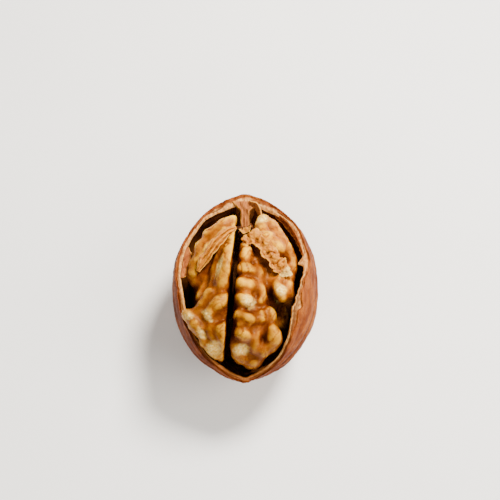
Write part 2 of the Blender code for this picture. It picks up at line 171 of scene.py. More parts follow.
# The kernel's folds: chains of beads, (x, y, height, radius) where the line passes.
LEFT_FOLDS = (
    # the outer crest
    ((-2.8, 15.8, 8.2, 1.2), (-4.9, 14.7, 9.0, 1.5), (-7.1, 12.8, 9.2, 1.8), (-9.0, 10.9, 9.0, 1.6),
     (-10.4, 9.1, 8.6, 1.8), (-11.4, 6.6, 8.2, 1.6), (-12.1, 4.0, 7.7, 1.9), (-12.9, 1.6, 7.0, 2.0),
     (-12.9, -0.3, 6.0, 1.7)),
    # knobs on its outer side
    ((-5.8, 14.3, 9.2, 1.4), (-6.4, 13.9, 9.2, 1.4)),
    ((-8.9, 12.0, 8.9, 1.5), (-9.4, 11.5, 8.8, 1.5)),
    ((-11.3, 8.6, 8.5, 1.5), (-11.7, 8.0, 8.3, 1.5)),
    ((-12.9, 4.4, 7.5, 1.6), (-13.1, 3.8, 7.4, 1.6)),
    # a shoulder inside it
    ((-3.1, 13.5, 9.4, 1.1), (-5.3, 12.1, 10.0, 1.3), (-7.4, 10.0, 10.1, 1.3), (-9.4, 7.6, 9.8, 1.3),
     (-10.8, 5.6, 9.1, 1.3)),
    # the inner crest along the gap
    ((-2.7, 10.7, 10.6, 1.3), (-3.3, 7.9, 11.8, 1.8), (-4.1, 4.9, 12.4, 2.0), (-4.6, 1.7, 12.8, 2.2),
     (-5.2, -1.2, 12.7, 2.1), (-6.0, -3.3, 12.0, 1.8)),
    # its outer slope
    ((-4.7, 8.9, 10.2, 1.4), (-6.1, 5.9, 10.2, 1.6), (-7.0, 3.0, 10.2, 1.6), (-7.5, -0.3, 10.0, 1.5),
     (-8.0, -3.0, 9.8, 1.4)),
    # the bridge towards the rim
    ((-6.2, -4.5, 11.4, 1.5), (-8.4, -5.0, 11.0, 1.7), (-9.9, -6.5, 10.7, 1.6), (-11.0, -8.2, 10.0, 1.6),
     (-12.1, -9.6, 8.9, 1.7)),
    # the knobs that overhang the rim
    ((-14.6, -9.7, 8.8, 1.5), (-13.4, -10.6, 9.2, 1.7)),
    ((-12.6, -12.2, 8.8, 1.9), (-11.5, -13.2, 8.4, 1.9)),
    ((-10.3, -14.9, 7.4, 1.7), (-9.6, -16.0, 6.6, 1.8)),
    # the broken block
    ((-4.5, -6.7, 12.3, 1.6), (-6.2, -7.7, 12.5, 1.9), (-7.9, -9.2, 12.0, 1.8), (-9.0, -10.4, 11.4, 1.5)),
    # a knob beside the gap
    ((-5.0, -13.6, 10.9, 1.7), (-6.0, -14.8, 10.2, 2.1), (-5.3, -16.3, 9.4, 1.8)),
    # the tip's block
    ((-8.2, -16.8, 6.8, 1.8), (-8.2, -17.9, 4.9, 2.0), (-6.3, -18.7, 4.0, 2.0), (-7.4, -18.2, 1.6, 2.0)),
    # the floor between the block and the lobe
    ((-4.1, -9.1, 9.6, 1.7), (-7.3, -11.8, 9.2, 1.9), (-8.2, -13.7, 8.8, 1.9), (-7.3, -15.9, 7.8, 2.0)),
    ((-10.6, -8.8, 8.8, 2.0), (-9.6, -10.8, 8.8, 2.0), (-10.6, -12.2, 8.0, 1.9)),
    ((-8.4, -6.6, 9.6, 2.0), (-6.0, -5.4, 10.4, 1.8)),
    # the bottom of the long valley
    ((-8.0, 7.6, 7.2, 1.8), (-9.2, 4.4, 6.9, 1.9), (-9.9, 1.6, 6.7, 2.0), (-10.0, -1.6, 7.0, 2.0),
     (-10.6, -4.6, 7.6, 2.0)),
    # the wall along the gap
    ((-3.3, 5.1, 8.5, 1.4), (-3.8, -2.4, 8.5, 1.5), (-4.1, -7.6, 8.6, 1.5), (-4.7, -12.4, 8.4, 1.6),
     (-5.3, -17.4, 6.6, 1.6)),
)
RIGHT_FOLDS = (
    # the knob at the stem end, and its broad flank
    ((4.6, 15.6, 9.2, 1.8), (4.1, 13.5, 10.0, 1.9), (4.4, 11.6, 10.5, 2.0)),
    ((6.4, 13.6, 8.4, 2.2), (7.8, 11.2, 8.9, 2.4), (9.4, 8.9, 8.8, 2.4), (10.6, 6.6, 8.2, 2.0)),
    # the column below it
    ((4.4, 10.9, 10.8, 1.9), (5.5, 9.3, 11.1, 2.3), (7.2, 7.9, 10.9, 2.3), (9.0, 7.5, 10.2, 2.0),
     (8.0, 6.4, 10.0, 1.8)),
    # beads down the gap's edge
    ((-0.3, 7.8, 10.6, 1.1), (0.1, 6.0, 11.6, 1.8), (-0.2, 4.6, 11.7, 1.9)),
    ((-1.2, 1.3, 12.0, 1.7), (0.5, 1.0, 12.3, 2.0), (1.6, 0.7, 11.8, 1.7)),
    ((-1.3, -2.9, 12.1, 1.8), (0.5, -3.2, 12.5, 2.1), (1.7, -3.0, 11.9, 1.7)),
    ((-1.3, -6.6, 12.2, 1.8), (0.5, -7.3, 12.7, 2.0), (-0.9, -8.0, 12.1, 1.7)),
    ((-1.6, -10.9, 11.8, 1.5), (0.5, -11.6, 12.2, 1.6), (1.7, -12.0, 11.8, 1.3)),
    ((-1.3, -13.1, 11.2, 1.3), (0.8, -13.5, 11.4, 1.3)),
    ((-1.8, -15.0, 10.8, 1.4), (-0.1, -15.6, 10.9, 1.5), (1.0, -15.9, 10.4, 1.2)),
    # the foot at the tip
    ((-1.7, -17.7, 7.6, 1.8), (-1.3, -19.0, 4.8, 2.0), (0.2, -19.8, 3.4, 2.2), (1.8, -19.9, 2.8, 2.1),
     (3.6, -18.9, 3.8, 2.0)),
    # a lower second column
    ((2.7, 3.9, 9.6, 1.7), (3.3, 1.3, 9.8, 1.8), (3.2, -1.2, 9.9, 1.8), (3.9, -3.4, 10.3, 1.6),
     (4.3, -5.2, 10.3, 1.5), (3.8, -6.9, 10.0, 1.4)),
    # knobs beside the fourth and fifth beads
    ((4.0, -10.0, 10.8, 1.3), (4.1, -11.4, 10.5, 1.4)),
    ((5.9, -8.9, 9.6, 1.3), (6.7, -10.5, 9.3, 1.6), (6.3, -11.9, 9.0, 1.4)),
    # the side lobe
    ((6.8, -14.0, 9.4, 1.8), (7.0, -15.6, 8.4, 2.1), (6.2, -17.0, 6.8, 2.1), (4.6, -18.2, 6.2, 1.9)),
    # the channel between them
    ((2.4, -8.8, 9.6, 1.6), (2.6, -11.0, 9.6, 1.5), (3.2, -13.6, 9.0, 1.7), (2.5, -16.2, 8.6, 1.8),
     (2.4, -17.9, 7.0, 1.6)),
    ((0.4, -14.6, 9.6, 1.6), (0.2, -17.2, 7.6, 1.8)),
    ((1.5, 1.8, 9.4, 1.5), (1.7, -3.6, 9.5, 1.7), (2.0, -5.2, 9.4, 1.6), (1.3, -9.4, 9.6, 1.5)),
    # the lobe in the window
    ((9.0, -0.7, 9.8, 1.5), (8.1, -2.5, 10.2, 1.5), (8.9, -4.1, 10.1, 1.8), (9.5, -5.4, 9.5, 1.5)),
    ((11.3, 0.3, 8.2, 1.6), (10.8, -1.9, 8.6, 2.0), (10.8, -4.1, 8.2, 1.7)),
    ((11.1, 7.4, 7.3, 1.5), (11.7, 5.0, 7.4, 1.6), (11.6, 2.5, 7.5, 1.7)),
    # the bed under the membrane
    ((3.0, 9.3, 9.4, 1.7), (5.5, 6.3, 9.4, 1.8), (7.2, 3.7, 9.2, 1.9), (9.7, 2.3, 8.9, 1.8)),
    ((1.4, 6.6, 9.0, 1.8), (4.6, 3.8, 8.6, 1.8), (6.4, 0.6, 8.2, 1.9), (6.3, -2.6, 8.0, 1.8)),
    # the wall along the gap
    ((-1.3, 5.1, 8.5, 1.5), (-1.9, -0.1, 8.5, 1.6), (-2.0, -5.8, 8.6, 1.7), (-2.4, -11.3, 8.6, 1.7),
     (-2.6, -17.3, 7.0, 1.6)),
)
# The membranes' middle lines.
CRINKLED_PATH = (
    (-0.6, 8.6, 12.2), (1.2, 9.2, 12.8), (3.1, 8.9, 13.1), (5.1, 7.4, 13.3), (6.6, 5.0, 12.7),
    (7.8, 3.1, 12.2), (9.2, 1.7, 12.0), (11.2, -0.3, 10.9),
)
DOUBLE_FOLD_PATH = (
    (-2.2, 12.6, 11.2), (-4.6, 11.0, 12.1), (-6.8, 8.6, 12.3), (-8.9, 5.8, 11.8), (-10.7, 3.4, 10.7),
    (-11.9, 1.4, 9.4),
)
RIBBON_STEP = 0.12
RUFFLE_LENGTH = 2.1
# The torn flaps: (azimuths in degrees, below the rim, depth, lean, crumple, thickness, seed).
LEFT_FLAP = ((155, 178), 0.5, 0.8, 2.7, 0.35, 0.3, 2.0)
RIGHT_FLAP = ((18, 68), 0.6, 1.6, 1.3, 0.3, 0.25, 5.0)
CRUMBS = 16
FLAKE_PLACE = (0.2, 13.0, 8.0)
FLAKE_TURN = (18, -12, 15)  # degrees
# Where the skin is scraped off the pale flesh:
# (x, y, half-length, half-width, turn in degrees, strength).
SCRAPES = (
    (4.4, 15.1, 2.1, 1.2, 10, 1.0),
    (-6.5, 1.6, 2.9, 0.75, 76, 0.9),
    (0.8, -7.7, 1.9, 1.4, -8, 1.0),
    (9.0, -4.2, 1.5, 1.7, 60, 1.0),
    (-9.5, -10.9, 1.9, 0.8, -50, 0.9),
    (-7.8, -18.4, 2.2, 1.5, -15, 0.75),
    (-1.0, -18.8, 2.0, 1.2, 5, 0.7),
    (-10.9, -15.0, 1.6, 0.8, -50, 0.7),
    (-14.3, -10.6, 1.4, 1.0, -30, 0.7),
    (10.3, 1.2, 1.3, 0.7, -30, 0.6),
)

# The stage, in metres.
FLOOR_HALF_SIZE = 1.5
# (name, place from the nut's middle, width, share of the key light's power)
LAMPS = (
    ("key", (0.18, 0.24, 0.40), 0.16, 1.0),
    ("fill", (0.40, -0.12, 0.34), 0.40, 0.35),
    ("front", (-0.10, -0.35, 0.38), 0.40, 0.18),
)


def blend(share):
    """0 to 1, with a soft start and end."""
    share = min(1.0, max(0.0, share))
    return share * share * (3 - 2 * share)


def shove(place):
    """A smooth noise vector, each part within about half a unit."""
    shifts = ((0, 0, 0), (31.7, 5.2, 0), (0, 17.3, 43.1))
    return Vector([noise.noise(place + Vector(shift)) for shift in shifts])


def taper(along):
    """How much of its girth the nut keeps this far along, -1 at the tip to 1 at the stem."""
    amount, power = TIP_TAPER if along < 0 else STEM_TAPER
    return 1 - amount * abs(along) ** power


def furrow_angle(furrow, along):
    """The turn of a furrow this far along the nut, in degrees."""
    stem, middle, tip, _ = furrow
    end = stem if along > 0 else tip
    return middle + (end - middle) * along * along


def relief(direction, detail=0.0):
    """The outer surface's height over the smooth nut, and how far the point is down a furrow, 0 to 1.

    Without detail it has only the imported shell's bumps, furrows and suture.
    """
    along = direction.y
    around = math.degrees(math.atan2(direction.z, direction.x))
    girth = HALF_WIDTH * math.sqrt(max(0.0, 1 - along * along))
    ends = blend((1 - abs(along)) / 0.12)
    height = BUMP_RISE * noise.noise(direction * (HALF_WIDTH / BUMP_SIZE))
    down = 0.0
    for furrow in FURROWS:
        apart = (around - furrow_angle(furrow, along) + 180) % 360 - 180
        if detail:
            apart += FURROW_WANDER * noise.noise(Vector((furrow[1] * 0.37, along * 5, 0.5)))
        across = math.radians(apart) * girth / FURROW_HALF_WIDTH
        groove = ends * math.exp(-across * across)
        height -= furrow[3] * groove
        down = max(down, groove)
    from_suture = min(abs(around - 90), abs((around + 90 + 180) % 360 - 180))
    across = math.radians(from_suture) * girth / SUTURE_HALF_WIDTH
    rise = SUTURE_RISE + (SUTURE_END_RISE - SUTURE_RISE) * along**4
    height += rise * math.exp(-(across**4))
    if not detail:
        return height, down
    seam = math.exp(-((across * SUTURE_HALF_WIDTH / SEAM_HALF_WIDTH) ** 2))
    height -= SEAM_DEPTH * seam * ends
    down = max(down, seam * ends)
    turn = math.atan2(direction.z, direction.x)
    for rounds, stretch, depth, width, shift in WRINKLES:
        place = Vector((math.cos(turn) * rounds + shift, along * stretch, math.sin(turn) * rounds))
        place += 0.25 * shove(place * 1.7)
        line = math.exp(-((noise.noise(place) / width) ** 2))
        line *= ends * blend(0.5 + 1.6 * noise.noise(place * 0.6 + Vector((3.1, 0, 0))))
        height -= detail * depth * line
        down = max(down, line * min(1.0, depth * 3))
    # Fine lumps, and a few shallow pits.
    point = direction * HALF_WIDTH
    height += 0.10 * noise.noise(point * 0.9) + 0.05 * noise.noise(point * 2.1)
    pit = noise.noise(point * 0.55 + Vector((9, 2, 5)))
    height -= 0.22 * max(0.0, pit - 0.42) / 0.3
    return height, down


def nut_point(direction, inset=0.0, height=0.0):
    """The nut's surface in this direction, this far inside it and then this much proud."""
    narrow = taper(direction.y)
    point = Vector((
        (HALF_WIDTH - inset) * direction.x * narrow,
        (HALF_LENGTH - inset) * direction.y,
        (HALF_DEPTH - inset) * direction.z * narrow,
    ))
    return point + direction * height


def towards(azimuth, elevation):
    """The direction with this azimuth and elevation, both in radians."""
    flat = math.cos(elevation)
    return Vector((flat * math.cos(azimuth), flat * math.sin(azimuth), math.sin(elevation)))


def between(a, b, c, d, share):
    """A value on the smooth curve through b and c, this share of the way from b."""
    return 0.5 * (
        2 * b + (c - a) * share
        + (2 * a - 5 * b + 4 * c - d) * share**2
        + (3 * b - a - 3 * c + d) * share**3
    )


def rim_height(azimuth):
    """The broken rim's height at this azimuth in degrees."""
    place = (azimuth % 360) / (360 / len(RIM_HEIGHTS))
    first = int(place)
    near = (RIM_HEIGHTS[(first + k) % len(RIM_HEIGHTS)] for k in (-1, 0, 1, 2))
    return between(*near, place - first)


def linear(colour):
    """A linear colour from sRGB hex."""
    parts = (int(colour[k:k + 2], 16) / 255 for k in (1, 3, 5))
    return (*(c / 12.92 if c <= 0.04045 else ((c + 0.055) / 1.055) ** 2.4 for c in parts), 1.0)


def add_node(tree, kind, settings, out=0):
    """Add a node with its settings and links, and give back one of its outputs.

    A key that is a number, or starts with a capital, is an input, and any other is a property of the node.
    A value that is a socket is linked. "stops" are a ramp's (place, colour) pairs. Colours are sRGB hex.
    """
    made = tree.nodes.new("ShaderNode" + kind)
    for key, value in settings.items():
        if isinstance(value, str) and value.startswith("#"):
            value = linear(value)
        if key == "stops":
            stops = made.color_ramp.elements
            while len(stops) < len(value):
                stops.new(0.5)
            for stop, (place, colour) in zip(stops, value):
                stop.position = place
                stop.color = linear(colour)
        elif isinstance(value, bpy.types.NodeSocket):
            tree.links.new(value, made.inputs[key])
        elif isinstance(key, int) or key[0].isupper():
            made.inputs[key].default_value = value
        else:
            setattr(made, key, value)
    return made.outputs[out]


def new_material(name, settings, *marks):
    """A material whose shader has these settings, its tree and shader, and a socket for each mark."""
    made = bpy.data.materials.new(name)
    made.use_nodes = True
    tree, shader = made.node_tree, made.node_tree.nodes["Principled BSDF"]
    for key, value in settings.items():
        shader.inputs[key].default_value = value
    sockets = (add_node(tree, "Attribute", {"attribute_name": mark}, "Fac") for mark in marks)
    return made, tree, shader, *sockets


def lumps(tree, size, detail=3.0, stretch=(1, 1, 1), rough=0.55, distort=0.0):
    """A pattern whose lumps are this many millimetres across, before the stretch.

    Grain finer than about 0.3 mm doesn't show on a nut seen whole, so real grain of that kind is drawn at 0.3
    to 0.8 mm.
    """
    place = add_node(tree, "TexCoord", {}, "Object")
    place = add_node(tree, "Mapping", {"Vector": place, "Scale": [k / (size * MM) for k in stretch]})
    settings = {"Vector": place, "Scale": 1.0, "Detail": detail, "Roughness": rough, "Distortion": distort}
    return add_node(tree, "TexNoise", settings)


def paint(tree, shader, colour, *layers):
    """Lay colours over the first, each (how, share, colour), and give the shader the result."""
    for how, share, above in layers:
        colour = add_node(tree, "Mix", how | {SHARE: share, BELOW: colour, ABOVE: above}, LAID)
    tree.links.new(colour, shader.inputs["Base Color"])


def emboss(tree, shader, *layers):
    """Give the shader a relief of layers, each (height, depth in millimetres), one on another."""
    below = {}
    for height, depth in layers:
        below = {"Normal": add_node(tree, "Bump", below | {"Height": height, "Distance": depth * MM})}
    tree.links.new(below["Normal"], shader.inputs["Normal"])


def make_shell_wood():
    """Walnut shell, a dense wood: matte and tan, red-brown in its furrows, with a pale fibrous break."""
    made, tree, shader, furrow, broken, lining, weathered, crack = new_material(
        "walnut_shell_wood", {"Roughness": 0.62, "Specular IOR Level": 0.08},
        "furrow", "broken", "lining", "weathered", "crack",
    )
    # The skin: streaks that run along the nut, browner patches, and dark specks half a millimetre across.
    skin = add_node(tree, "ValToRGB", {
        0: lumps(tree, 2.2, 5, (1, 0.3, 1), 0.6, 0.6),
        "stops": ((0.28, "#5c2a0a"), (0.45, "#7c3e10"), (0.58, "#925018"), (0.74, "#ac6828")),
    })
    patches = add_node(tree, "ValToRGB", {
        0: lumps(tree, 9, 3), "stops": ((0.35, "#ffffff"), (0.65, "#b8886c")),
    })
    specks = add_node(tree, "ValToRGB", {
        0: lumps(tree, 0.55, 4), "stops": ((0.30, "#8a5030"), (0.46, "#ffffff")),
    })
    # Dirt and dried husk left in the furrows, darker in some stretches than in others.
    down = add_node(tree, "ValToRGB", {
        0: furrow, "stops": ((0.20, "#000000"), (0.62, "#606060"), (0.92, "#e4e4e4")),
    })
    grime = add_node(tree, "ValToRGB", {
        0: lumps(tree, 3.5, 4, distort=0.6), "stops": ((0.36, "#2c0f02"), (0.62, "#6c3812")),
    })
    # The break's pale fibres, darker on the lower side as painted shade, and the dark inside, which is
    # painted shade. Real fibres are about 0.05 mm wide, so they are drawn ten times as coarse, to show.
    fibres = add_node(tree, "ValToRGB", {
        0: lumps(tree, 0.5, 4, (1, 0.5, 1), 0.6),
        "stops": ((0.30, "#925424"), (0.48, "#c68844"), (0.70, "#ecba72")),
    })
    fibres = add_node(tree, "Mix", LAY | {SHARE: weathered, BELOW: fibres, ABOVE: "#8a5020"}, LAID)
    # The inside's dark brown is painted shade, deepening further below the rim.
    inside = add_node(tree, "ValToRGB", {0: lumps(tree, 3, 4), "stops": ((0.3, "#3c1a0a"), (0.7, "#784218"))})
    paint(
        tree, shader, skin,
        # the darker tint on the lower side is painted shade
        (TINT, 0.75, patches), (TINT, 0.5, specks), (TINT, weathered, "#dccfc6"), (LAY, down, grime),
        # the dark in the split between the rim's layers is painted shade
        (LAY, broken, fibres), (LAY, crack, "#3c1a08"), (LAY, lining, inside),
    )
    emboss(tree, shader, (lumps(tree, 1.2, 5, (1, 0.4, 1)), 0.18), (lumps(tree, 0.35, 3), 0.05))
    return made


def make_partition_wood():
    """The woody partition: soft pinkish-brown fibres that run up to the stem, in bundles 0.7 mm wide."""
    made, tree, shader, edge = new_material(
        "partition_fibre_wood", {"Roughness": 0.68, "Specular IOR Level": 0.08}, "edge",
    )
    fibres = lumps(tree, 0.7, 5, (1, 0.18, 0.5), 0.6, 0.4)
    wood = add_node(tree, "ValToRGB", {
        0: fibres, "stops": ((0.28, "#743c1c"), (0.45, "#9a5a2a"), (0.60, "#b26e36"), (0.76, "#ca8c48")),
    })
    paint(tree, shader, wood, (LAY, edge, "#cc8a38"))
    emboss(tree, shader, (fibres, 0.25), (lumps(tree, 0.3, 3), 0.05))
    return made


def make_seed_skin(settings):
    """Walnut pellicle, a thin waxy skin on oily flesh: amber, browner in its creases partly as pigment and
    partly as painted shade, with painted shade where it is shut in, low down and towards the left and the
    tip, a painted yellow highlight on its ridges, and cream where scraped.
    """
    made, tree, shader, ridge, browned, crease, deep, low, scrape = new_material(
        "walnut_seed_skin",
        {
            "IOR": 1.47,
            "Specular IOR Level": 0.18,
            "Specular Tint": linear("#ffdc98"),
            "Subsurface Weight": 0.12,
            "Subsurface Radius": (1.0, 0.45, 0.15),
            "Subsurface Scale": 0.6 * MM,
        },
        "ridge", "browned", "crease", "deep", "low", "scrape",
    )
    # The skin: amber in clouds, with a painted yellow highlight on the ridges.
    skin = add_node(tree, "ValToRGB", {
        0: lumps(tree, 3.2, 4, rough=0.6, distort=0.5),
        "stops": ((0.30, "#703404"), (0.46, "#904c05"), (0.60, "#a85e06"), (0.76, "#bc740a")),
    })
    painted_ridge_highlight = add_node(tree, "ValToRGB", {0: ridge, "stops": ((0.3, "#ca8605"), (1.0, "#e9ab18"))})
    # The creases, browner partly as pigment and partly as painted shade, the painted shade where the folds
    # and the wall shut the light out, and the veins.
    down = add_node(tree, "ValToRGB", {0: crease, "stops": ((0.10, "#000000"), (1.0, "#e0e0e0"))})
    shade = add_node(tree, "ValToRGB", {0: deep, "stops": (
        (0.06, "#ffffff"), (0.18, "#d8c0a4"), (0.32, "#a8866c"), (0.50, "#684634"), (0.74, "#20100a"),
    )})
    veins = add_node(tree, "ValToRGB", {
        0: lumps(tree, 0.9, 5, rough=0.65, distort=1.2), "stops": ((0.36, "#b07c50"), (0.50, "#ffffff")),
    })
    # The flesh that shows where the skin is scraped off. It is duller than the skin.
    flesh = add_node(tree, "ValToRGB", {
        0: lumps(tree, 0.6, 4), "stops": ((0.32, "#c8922a"), (0.5, "#ecc05c"), (0.68, "#fae49c")),
    })
    paint(
        tree, shader, skin,
        # the tint towards the left and the tip is painted shade, broken by random clouds of tone
        (LAY, ridge, painted_ridge_highlight), (TINT, browned, "#c4b8a8"), (LAY, down, (*settings.crease_pigment_and_shade, 1.0)),
        # the dark laid on low down is painted shade
        (TINT, 1.0, shade), (LAY, low, "#3a2014"), (TINT, 0.5, veins), (LAY, scrape, flesh),
    )
    rough = add_node(tree, "MapRange", {"Value": scrape, "To Min": 0.36, "To Max": 0.75})
    tree.links.new(rough, shader.inputs["Roughness"])
    emboss(tree, shader, (lumps(tree, 1.1, 4, distort=0.8), 0.11), (lumps(tree, 0.4, 3), 0.04))
    return made


def make_membrane_paper():
    """Dried septum membrane: thin crisp paper, orange-tan with pink, and cream along its torn edges."""
    made, tree, shader, fold, edge, pale = new_material(
        "dry_membrane_paper",
        {
            "Roughness": 0.5,
            "Specular IOR Level": 0.15,
            "Subsurface Weight": 0.2,
            "Subsurface Radius": (1.0, 0.5, 0.3),
            "Subsurface Scale": 0.8 * MM,
        },
        "fold", "edge", "scrape",
    )
    paper = add_node(tree, "ValToRGB", {
        0: lumps(tree, 1.6, 5, rough=0.6, distort=0.8),
        "stops": ((0.28, "#84440c"), (0.45, "#ac6814"), (0.60, "#c27e1c"), (0.78, "#da9c30")),
    })
    shade = add_node(tree, "ValToRGB", {0: fold, "stops": ((0.40, "#ffffff"), (0.95, "#94582c"))})
    paint(tree, shader, paper, (TINT, 1.0, shade), (LAY, edge, "#cc9038"), (LAY, pale, "#d4ac58"))
    emboss(tree, shader, (lumps(tree, 0.6, 4, distort=0.8), 0.10))
    return made


def make_torn_lining():
    """The shell's torn inner lining: a dull pinkish-brown felt of fibres, paler where it is torn."""
    made, tree, shader, edge = new_material(
        "torn_shell_lining", {"Roughness": 0.72, "Specular IOR Level": 0.08}, "edge",
    )
    fibres = lumps(tree, 0.8, 5, (1, 0.6, 0.6), 0.6)  # tufts; single fibres are too fine to show
    felt = add_node(tree, "ValToRGB", {
        0: fibres, "stops": ((0.30, "#6a3010"), (0.48, "#904c1e"), (0.70, "#b06c30")),
    })
    paint(tree, shader, felt, (LAY, edge, "#d08c34"))
    emboss(tree, shader, (fibres, 0.12))
    return made


def make_dried_crumb():
    """Dried septum crumbs: dark brown, brittle and dull."""
    made, tree, shader = new_material("dried_septum_crumb", {"Roughness": 0.75, "Specular IOR Level": 0.1})
    paint(tree, shader, add_node(tree, "ValToRGB", {
        0: lumps(tree, 0.7, 4), "stops": ((0.35, "#2a1206"), (0.55, "#5c300f"), (0.75, "#985c28")),
    }))
    emboss(tree, shader, (lumps(tree, 0.4, 3), 0.08))
    return made


def make_paper_sweep():
    """The studio's paper floor: matte and pale."""
    made, tree, shader = new_material("studio_paper", {"Roughness": 0.9, "Specular IOR Level": 0.1})
    paint(tree, shader, add_node(tree, "ValToRGB", {
        0: lumps(tree, 60, 2), "stops": ((0.3, "#f4f3f1"), (0.7, "#f9f8f6")),
    }))
    return made


def finish_piece(name, mesh, material, slot, *nodes):
    """A piece from a mesh in millimetres: put in the frame, painted, and standing for its CAD nodes."""
    mesh.transform(Matrix.Translation(MIDDLE) @ Matrix.Scale(MM, 4))
    mesh.name = name
    mesh.shade_smooth()
    mesh.materials.clear()
    mesh.materials.append(material)
    piece = bpy.data.objects.new(name, mesh)
    bpy.context.scene.collection.objects.link(piece)
    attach(piece, "root")
    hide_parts(*nodes)
    return piece


def mesh_of(bm, name="draft"):
    """The bmesh as a mesh, and the bmesh freed."""
    mesh = bpy.data.meshes.new(name)
    bm.to_mesh(mesh)
    bm.free()
    return mesh


def worked(mesh, kind, **settings):
    """The mesh after one modifier."""
    draft = bpy.data.objects.new("draft", mesh)
    bpy.context.scene.collection.objects.link(draft)
    modifier = draft.modifiers.new(kind, kind)
    for key, value in settings.items():
        setattr(modifier, key, value)
    done = bpy.data.meshes.new_from_object(draft.evaluated_get(bpy.context.evaluated_depsgraph_get()))
    bpy.data.objects.remove(draft)
    return done


def points_of(mesh, what="co"):
    """The mesh's points, or their normals, one to a row."""
    values = np.empty(len(mesh.vertices) * 3, np.float32)
    mesh.vertices.foreach_get(what, values)
    return values.reshape(-1, 3).astype(np.float64)


def set_points(mesh, points):
    """Move the mesh's points to these places."""
    mesh.vertices.foreach_set("co", points.astype(np.float32).ravel())
    mesh.update()


def smoothed(mesh, points, rounds, strength=1.0):
    """The points after each has moved towards the middle of its neighbours, this many times."""
    edges = np.empty(len(mesh.edges) * 2, np.int32)
    mesh.edges.foreach_get("vertices", edges)
    first, second = edges.reshape(-1, 2).T
    count = np.bincount(first, minlength=len(points)) + np.bincount(second, minlength=len(points))
    for _ in range(rounds):
        total = np.stack([
            np.bincount(first, points[second, k], len(points))
            + np.bincount(second, points[first, k], len(points))
            for k in range(3)
        ], axis=1)
        points = points + strength * (total / count[:, None] - points)
    return points


def add_attribute(mesh, name, values):
    """Mark each point with a value from 0 to 1, which a material reads by this name."""
    made = mesh.attributes.new(name, "FLOAT", "POINT")
    made.data.foreach_set("value", np.clip(np.asarray(values, np.float32), 0, 1))


def each_noise(points, size, shift=0.0):
    """Noise at each point, with lumps of this size."""
    return np.array([noise.noise(Vector(p) / size + Vector((shift, shift, shift))) for p in points])


def soft(values):
    """0 to 1, with a soft start and end, for a whole array."""
    values = np.clip(values, 0, 1)
    return values * values * (3 - 2 * values)


def smooth_line(points, spacing):
    """Points along a smooth curve through the given ones, spacing(point) apart."""
    before = tuple(2 * a - b for a, b in zip(points[0], points[1]))
    after = tuple(2 * a - b for a, b in zip(points[-1], points[-2]))
    knots = (before, *points, after)
    for k in range(1, len(knots) - 2):
        near = knots[k - 1:k + 3]
        steps = max(1, round(math.dist(near[1][:3], near[2][:3]) / spacing(near[1])))
        for step in range(steps):
            yield tuple(between(*values, step / steps) for values in zip(*near))
    yield points[-1]


